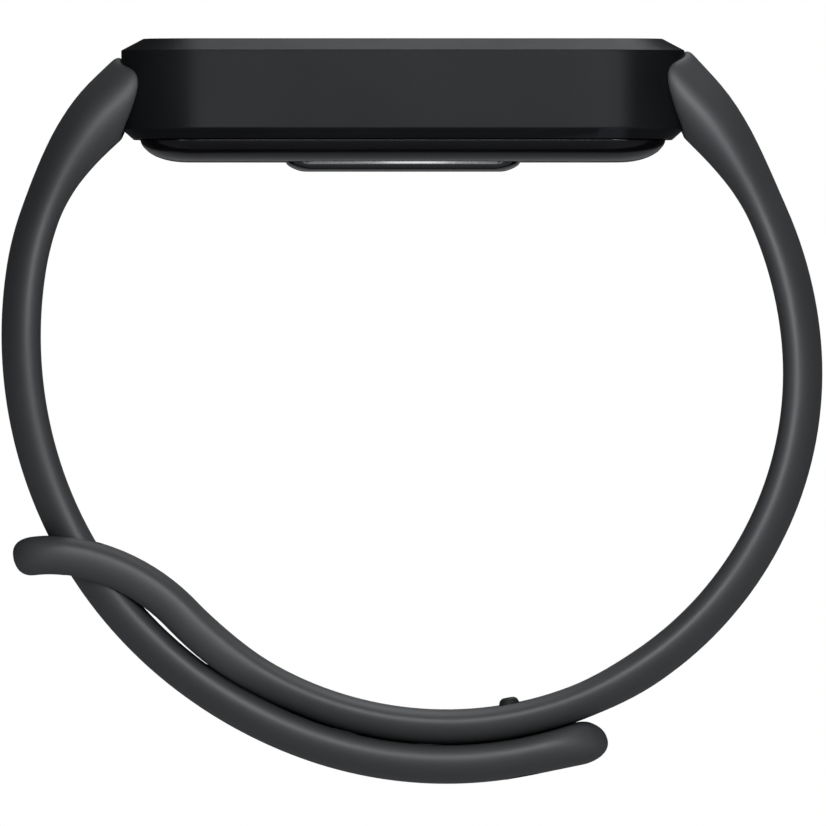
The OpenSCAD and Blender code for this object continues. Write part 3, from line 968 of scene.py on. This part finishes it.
INNER = {
    "glass_adhesive": shaded("adhesive", (0.03, 0.03, 0.03), 0.8, 6000.0, 0.3),
    "touch_panel": shaded("touch_film", (0.06, 0.07, 0.08), 0.15, 5000.0, 0.02),
    "display_panel": shaded("panel", (0.02, 0.022, 0.03), 0.12, 5000.0, 0.02),
    "display_backlight": shaded("backlight", (0.8, 0.8, 0.78), 0.5, 5000.0, 0.1, mottle=0.03),
    "display_flex": shaded("flex", (0.42, 0.18, 0.05), 0.35, 5000.0, 0.1),
    "display_connector": shaded("socket", (0.03, 0.028, 0.024), 0.5, 7000.0, 0.2),
    "inner_frame": shaded("frame_plastic", (0.05, 0.054, 0.06), 0.55, 7000.0, 0.3),
    "main_board": shaded("solder_mask", (0.02, 0.11, 0.05), 0.35, 3000.0, 0.2),
    "processor_shield": shaded("shield_can", (0.55, 0.56, 0.58), 0.35, 6000.0, 0.2, Metallic=1.0),
    "bluetooth_chip": shaded("chip", (0.02, 0.02, 0.022), 0.6, 6000.0, 0.25),
    "board_screws": shaded("screw_steel", (0.4, 0.41, 0.43), 0.3, 6000.0, 0.15, Metallic=1.0),
    "battery": shaded("pouch", (0.6, 0.61, 0.63), 0.32, 2500.0, 0.3, Metallic=1.0),
    "motor_base": shaded("brass_plate", (0.45, 0.3, 0.12), 0.35, 6000.0, 0.15, Metallic=1.0),
    "motor_weight": shaded("weight", (0.2, 0.2, 0.21), 0.42, 6000.0, 0.25, Metallic=1.0),
    "rear_gasket": shaded("silicone", (0.03, 0.03, 0.03), 0.7, 6000.0, 0.2),
    "sensor_leds": shaded("lamp_resin", (0.3, 0.55, 0.22), 0.1, 4000.0, 0.03),
    "charging_magnets": shaded("nickel", (0.6, 0.6, 0.6), 0.2, 6000.0, 0.1, Metallic=1.0),
}
SAME = {
    "battery_adhesive": "glass_adhesive",
    "battery_lead": "display_flex",
    "sensor_flex": "display_flex",
    "antenna_strip": "display_flex",
    "battery_connector": "display_connector",
    "battery_protection_board": "main_board",
    "sensor_board": "main_board",
    "motor_can": "processor_shield",
    "memory_chip": "bluetooth_chip",
    "motion_sensor": "bluetooth_chip",
    "photodiodes": "bluetooth_chip",
    "motor_shaft": "board_screws",
    "light_barrier": "rear_gasket",
}
for node, obj in frame["nodes"].items():
    if not obj.hide_render:
        paint(obj, INNER[SAME.get(node, node)])

# ---------------------------------------------------------------- stage

# The floor lies this far below the band, lower than any joint pose reaches
FLOOR_DROP = 26.0
FLOOR_RADII = (1.0, 200.0, 400.0, 600.0)
FLOOR_SIDES = 96
FLOOR_AS_LIGHT = (0.45, 0.45, 0.46, 1.0)
WORLD_AS_LIGHT = 0.015
WHITE = (1, 1, 1, 1)

# Width and middle of the camera's view
VIEW_W = 62.17
VIEW_X = 0.76
VIEW_Z = 2.1
LENS = 1600.0
SENSOR = 36.0

# Lights, in metres and watts
LIGHT_TINT = (0.975, 1.0, 1.02)
STREAK_Z = -0.018
STREAK_H = 0.018
WINDOW_FACE = 0.0207
STREAK_SPREAD = 0.033


def camera_switch(tree, surface, seen, lit):
    """Shows seen to the camera, and lit to every other ray."""
    mix = tree.nodes.new("ShaderNodeMixShader")
    path = tree.nodes.new("ShaderNodeLightPath")
    tree.links.new(path.outputs["Is Camera Ray"], mix.inputs[0])
    tree.links.new(lit.outputs[0], mix.inputs[1])
    tree.links.new(seen.outputs[0], mix.inputs[2])
    tree.links.new(mix.outputs[0], surface)


def floor():
    """Pale to the camera, and dimmer to what it lights, so that the straps keep their dark rims."""
    low = cad_box[0].z / MM - FLOOR_DROP
    angles = [math.tau * i / FLOOR_SIDES for i in range(FLOOR_SIDES)]
    rings = [[(r * math.cos(a), r * math.sin(a), low) for a in angles] for r in FLOOR_RADII]
    obj = mesh_object("floor", *loft(rings, False, True, False))
    mat = shaded(
        "floor_paint", (0.86, 0.86, 0.87), 0.85, 400.0, 0.02, mottle=0.01, Emission_Strength=0.3
    )
    tree = mat.node_tree
    dim = tree.nodes.new("ShaderNodeBsdfDiffuse")
    dim.inputs["Color"].default_value = FLOOR_AS_LIGHT
    surface = tree.nodes["Material Output"].inputs["Surface"]
    camera_switch(tree, surface, tree.nodes["Principled BSDF"], dim)
    paint(obj, mat)


def camera():
    data = bpy.data.cameras.new("camera")
    data.lens, data.sensor_width = LENS, SENSOR
    distance = VIEW_W * MM * LENS / SENSOR
    data.clip_start, data.clip_end = distance * 0.5, distance * 2
    obj = bpy.data.objects.new("camera", data)
    obj.location = (VIEW_X * MM, -distance, VIEW_Z * MM)
    obj.rotation_euler = (math.radians(90), 0, 0)
    scene.collection.objects.link(obj)
    scene.camera = obj


def softbox(name, place, size, power, aim=(0, 0, 0)):
    """Rectangular area light that faces the aim point and stays out of camera views."""
    data = bpy.data.lights.new(name, "AREA")
    data.shape = "RECTANGLE"
    data.size, data.size_y = size
    data.energy = power
    data.color = LIGHT_TINT
    obj = bpy.data.objects.new(name, data)
    obj.location = place
    obj.rotation_euler = (Vector(aim) - Vector(place)).to_track_quat("-Z", "Y").to_euler()
    obj.visible_camera = False
    scene.collection.objects.link(obj)


def world():
    """White to the camera, and a dim even grey to everything that it lights."""
    w = bpy.data.worlds.new("studio")
    scene.world = w
    w.use_nodes = True
    tree = w.node_tree
    lit = tree.nodes["Background"]
    lit.inputs["Color"].default_value = WHITE
    lit.inputs["Strength"].default_value = WORLD_AS_LIGHT
    seen = tree.nodes.new("ShaderNodeBackground")
    seen.inputs["Color"].default_value = WHITE
    seen.inputs["Strength"].default_value = 1.0
    camera_switch(tree, tree.nodes["World Output"].inputs["Surface"], seen, lit)


floor()
camera()
world()
softbox("front_left", (-0.05, -0.6, 0.12), (0.12, 0.18), 2.2)
softbox("front_right", (0.07, -0.6, 0.12), (0.12, 0.18), 1.6)
softbox("near_right", (0.055, -0.11, 0.03), (0.01, 0.04), 0.05, (0.015, 0, 0.02))
softbox("front_low", (0.0, -0.36, -0.22), (0.3, 0.08), 1.2)
for x, y, w, power in (  # strips that the sensor window mirrors
    (-0.2, -0.28, 0.09, 0.05),
    (0.2, -0.28, 0.08, 0.045),
    (0.001, -0.35, 0.0051, 0.0033),
    (0.0, -0.35, 0.0165, 0.003),
):
    aim = (x * STREAK_SPREAD, 0, WINDOW_FACE)
    softbox("window_streak", (x, y, STREAK_Z), (w, STREAK_H), power, aim)
softbox("top_back", (0.09, 0.33, 0.5), (0.3, 0.2), 1.45)
softbox("back_wall", (0.0, 0.75, 0.10), (1.2, 0.8), 0.06)
scene.view_settings.view_transform = "Standard"
